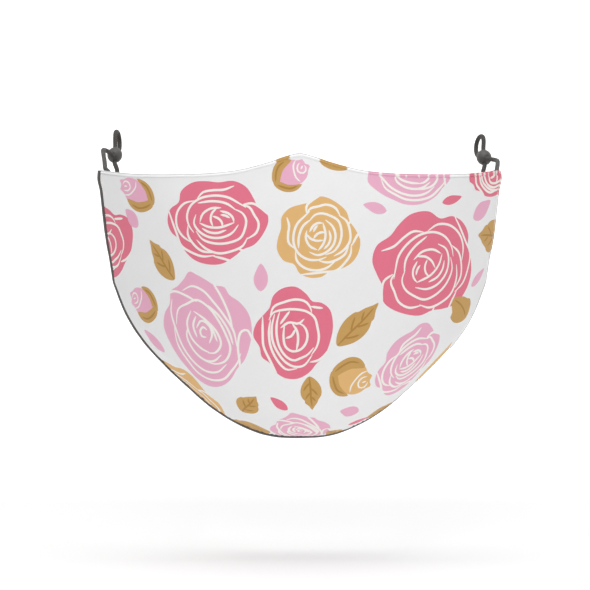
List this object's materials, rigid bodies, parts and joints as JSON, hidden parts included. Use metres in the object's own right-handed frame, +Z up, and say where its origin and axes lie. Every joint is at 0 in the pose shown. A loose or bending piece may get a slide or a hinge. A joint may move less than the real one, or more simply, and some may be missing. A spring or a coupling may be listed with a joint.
{
  "type": "cloth face mask",
  "caption": "Reusable cloth face mask in its worn shape, with a rose-printed outer panel, dark lining and edging, and elastic ear cords with bead stoppers.",
  "frame": {"origin": "the middle of the top edge, where the mask sits on the bridge of the nose", "axes": "+X to the right as seen from the front, +Y back from the face of the mask towards the ears, +Z up"},
  "size_m": [0.1792, 0.1339, 0.1287],
  "materials": {
    "printed_cloth": "matt woven cloth with a printed pattern of roses, buds and leaves",
    "light_edge": "matt woven cloth",
    "lining_cloth": "matt dark cloth",
    "elastic_cord": "matt braided elastic",
    "bead": "satin silicone rubber"
  },
  "bodies": {
    "root": {"outer_panel": "printed_cloth", "lining": "lining_cloth", "light_rolled_edge": "light_edge", "dark_rolled_edge": "lining_cloth", "cord_channel_left": "lining_cloth", "cord_channel_right": "lining_cloth", "ear_cord_left": "elastic_cord", "ear_cord_right": "elastic_cord", "bead_stopper_left": "bead", "bead_stopper_right": "bead"}
  },
  "joints": []
}
